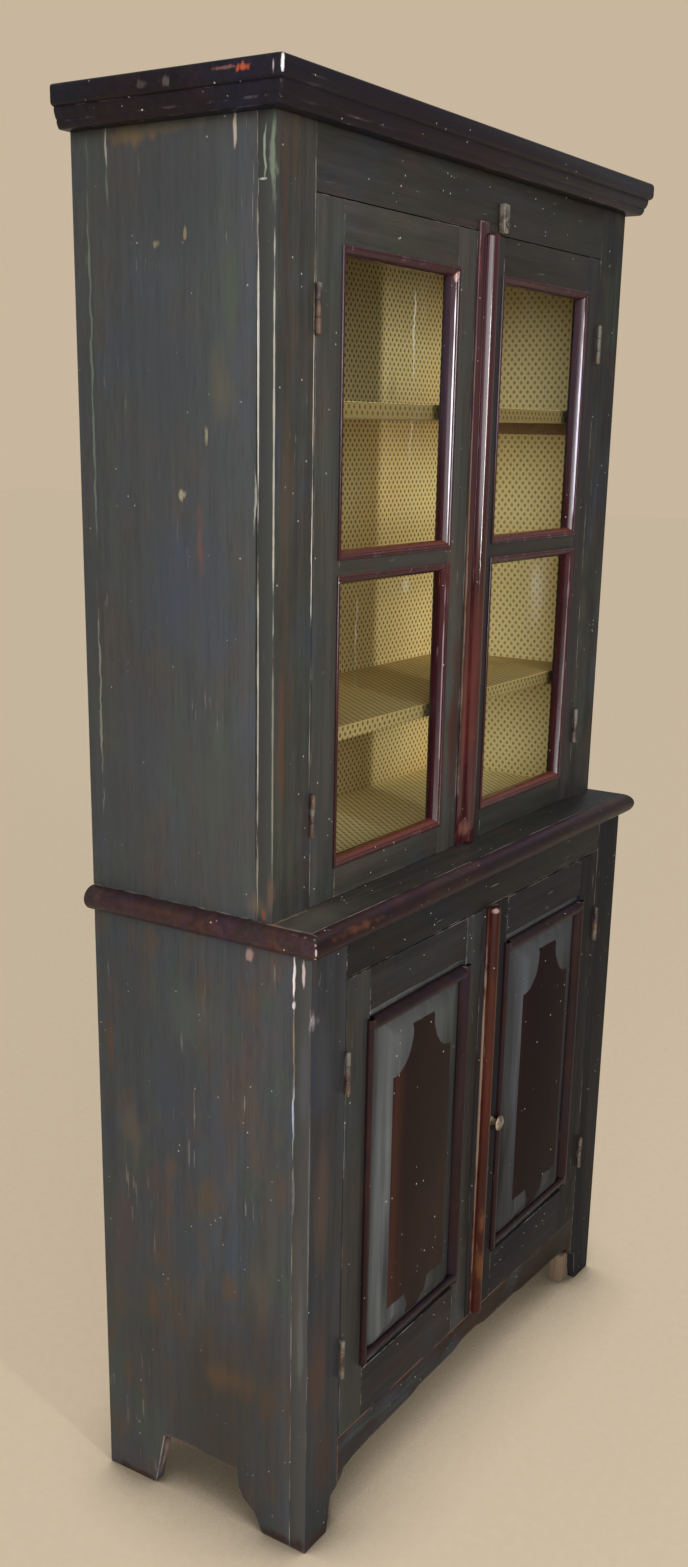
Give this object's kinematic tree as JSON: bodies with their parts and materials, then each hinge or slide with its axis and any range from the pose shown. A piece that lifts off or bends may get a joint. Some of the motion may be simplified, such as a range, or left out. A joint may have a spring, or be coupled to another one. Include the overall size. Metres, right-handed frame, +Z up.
{
  "type": "display cabinet",
  "caption": "Tall painted display cabinet: glazed doors over paper-lined shelves, panelled cupboard doors below, moulded cornice, rounded waist ledge and bracket feet.",
  "frame": {"origin": "centre of the bounding box on the floor plane", "axes": "+Z up, +X to the viewer's right when facing the doors, -Y out of the front"},
  "size_m": [1.139, 0.4276, 2.134],
  "materials": {
    "case_paint": "worn satin dark green-grey paint",
    "door_paint": "worn satin dark green-grey paint",
    "panel_paint": "worn blue-grey bevels round a dark red-brown painted field",
    "maroon_moulding": "worn dark maroon paint",
    "upper_astragal_paint": "worn pinkish maroon paint",
    "lower_astragal_paint": "worn red-brown paint",
    "bare_wood": "unpainted old softwood",
    "wall_paper": "aged yellow wallpaper with small dots",
    "pane_glass": "clear old window glass",
    "hinge_iron": "rusty brown",
    "button_wood": "weathered grey-brown",
    "screw_iron": "dull worn steel",
    "knob_wood": "pale turned wood, worn smooth"
  },
  "bodies": {
    "case": {"lower_side_left": "case_paint", "lower_side_right": "case_paint", "lower_stile_left": "case_paint", "lower_stile_right": "case_paint", "lower_top_rail": "case_paint", "lower_apron": "case_paint", "waist_board": "case_paint", "upper_side_left": "case_paint", "upper_side_right": "case_paint", "upper_top_board": "case_paint", "upper_stile_left": "case_paint", "upper_stile_right": "case_paint", "upper_top_rail": "case_paint", "waist_moulding_front": "maroon_moulding", "waist_moulding_left": "maroon_moulding", "waist_moulding_right": "maroon_moulding", "cornice_front": "maroon_moulding", "cornice_left": "maroon_moulding", "cornice_right": "maroon_moulding", "lower_back": "bare_wood", "lower_bottom_board": "bare_wood", "lower_shelf": "bare_wood", "lower_glue_blocks": "bare_wood", "upper_back": "bare_wood", "upper_floor_board": "bare_wood", "upper_shelves": "bare_wood", "shelf_cleats": "bare_wood", "upper_paper_lining": "wall_paper", "case_hinge_leaves": "hinge_iron", "hinge_pins": "hinge_iron", "button_screw": "screw_iron"},
    "upper_left_door": {"upper_left_stiles": "door_paint", "upper_left_rails": "door_paint", "upper_left_panes": "pane_glass", "upper_left_glazing_mouldings": "maroon_moulding", "upper_left_hinge_leaves": "hinge_iron"},
    "upper_right_door": {"upper_right_stiles": "door_paint", "upper_right_rails": "door_paint", "upper_right_panes": "pane_glass", "upper_right_glazing_mouldings": "maroon_moulding", "upper_right_hinge_leaves": "hinge_iron", "upper_right_astragal_strip": "upper_astragal_paint", "upper_right_astragal_bead": "upper_astragal_paint"},
    "lower_left_door": {"lower_left_stiles": "door_paint", "lower_left_rails": "door_paint", "lower_left_panel": "panel_paint", "lower_left_panel_moulding": "maroon_moulding", "lower_left_hinge_leaves": "hinge_iron"},
    "lower_right_door": {"lower_right_stiles": "door_paint", "lower_right_rails": "door_paint", "lower_right_panel": "panel_paint", "lower_right_panel_moulding": "maroon_moulding", "lower_right_hinge_leaves": "hinge_iron", "lower_right_astragal_strip": "lower_astragal_paint", "lower_right_astragal_bead": "lower_astragal_paint", "knob_rose": "knob_wood"},
    "turn_button": {"turn_button": "button_wood"},
    "latch_knob": {"knob": "knob_wood", "latch_cam": "screw_iron"}
  },
  "joints": [
    {"name": "upper_left_door_hinge", "type": "hinge", "parent": "case", "child": "upper_left_door", "pos_m": [-0.442, -0.12725, 1.519], "axis": [0, 0, 1], "range_deg": [-115, 0]},
    {"name": "upper_right_door_hinge", "type": "hinge", "parent": "case", "child": "upper_right_door", "pos_m": [0.442, -0.12725, 1.519], "axis": [0, 0, 1], "range_deg": [0, 115]},
    {"name": "lower_left_door_hinge", "type": "hinge", "parent": "case", "child": "lower_left_door", "pos_m": [-0.442, -0.19625, 0.552], "axis": [0, 0, 1], "range_deg": [-115, 0]},
    {"name": "lower_right_door_hinge", "type": "hinge", "parent": "case", "child": "lower_right_door", "pos_m": [0.442, -0.19625, 0.552], "axis": [0, 0, 1], "range_deg": [0, 115]},
    {"name": "turn_button_pivot", "type": "hinge", "parent": "case", "child": "turn_button", "pos_m": [0.063, -0.12975, 2.014], "axis": [0, 1, 0], "range_deg": [0, 180]},
    {"name": "latch_knob_pivot", "type": "hinge", "parent": "lower_right_door", "child": "latch_knob", "pos_m": [0.0445, -0.19425, 0.52998], "axis": [0, 1, 0], "range_deg": [0, 90]}
  ]
}
